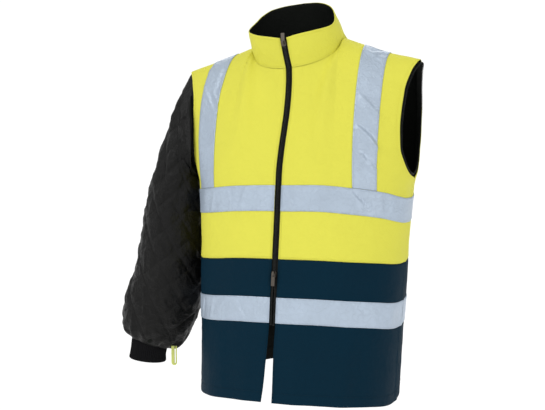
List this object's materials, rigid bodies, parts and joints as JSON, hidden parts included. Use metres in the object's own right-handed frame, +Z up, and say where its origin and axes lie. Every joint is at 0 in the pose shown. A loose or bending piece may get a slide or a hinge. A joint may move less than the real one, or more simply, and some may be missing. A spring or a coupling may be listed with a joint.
{
  "type": "hi-vis work jacket",
  "caption": "High-visibility work bodywarmer with a stand collar, full front zip, reflective hoops and shoulder braces, and a quilted zip-off sleeve.",
  "frame": {"origin": "midway between the two points where the collar meets the shoulder seams, where the wearer's shoulders carry it", "axes": "-Y the way the front faces, +X towards the wearer's left, +Z up"},
  "size_m": [0.6453, 0.3346, 0.8014],
  "materials": {
    "yellow_oxford": "coated oxford weave",
    "navy_oxford": "coated oxford weave",
    "black_lining": "matt knitted lining",
    "reflective_tape": "satin retro-reflective tape",
    "zip_coil": "woven tape and plastic coil",
    "quilted_nylon": "soft nylon with a low sheen",
    "rib_knit": "matt rib knit",
    "yellow_elastic": "matt woven elastic",
    "zip_metal": "painted slider metal"
  },
  "bodies": {
    "garment": {"front_right_upper_panel": "yellow_oxford", "front_right_lower_panel": "navy_oxford", "front_left_upper_panel": "yellow_oxford", "front_left_lower_panel": "navy_oxford", "back_upper_panel": "yellow_oxford", "back_lower_panel": "navy_oxford", "back_lining": "black_lining", "chest_tape_front_right": "reflective_tape", "chest_tape_front_left": "reflective_tape", "chest_tape_back": "reflective_tape", "hip_tape_front_right": "reflective_tape", "hip_tape_front_left": "reflective_tape", "hip_tape_back": "reflective_tape", "brace_tape_right": "reflective_tape", "brace_tape_left": "reflective_tape", "collar_outer": "yellow_oxford", "collar_lining": "black_lining", "zip_tape_right": "zip_coil", "zip_tape_left": "zip_coil", "armhole_zip_tape": "zip_coil", "quilted_sleeve": "quilted_nylon", "rib_cuff": "rib_knit", "elastic_loop": "yellow_elastic", "upper_slider": "zip_metal", "lower_slider": "zip_metal"},
    "upper_pull": {"upper_pull_tab": "zip_metal"},
    "lower_pull": {"lower_pull_tab": "zip_metal"}
  },
  "joints": [
    {"name": "upper_pull_flip", "type": "hinge", "parent": "garment", "child": "upper_pull", "pos_m": [0.00548, -0.10756, -0.00366], "axis": [0.9934, 0.0739, 0.0876], "range_deg": [0, 200]},
    {"name": "lower_pull_flip", "type": "hinge", "parent": "garment", "child": "lower_pull", "pos_m": [0.00269, -0.14881, -0.44045], "axis": [-0.9999, 0.0029, 0.011], "range_deg": [0, 165]}
  ]
}
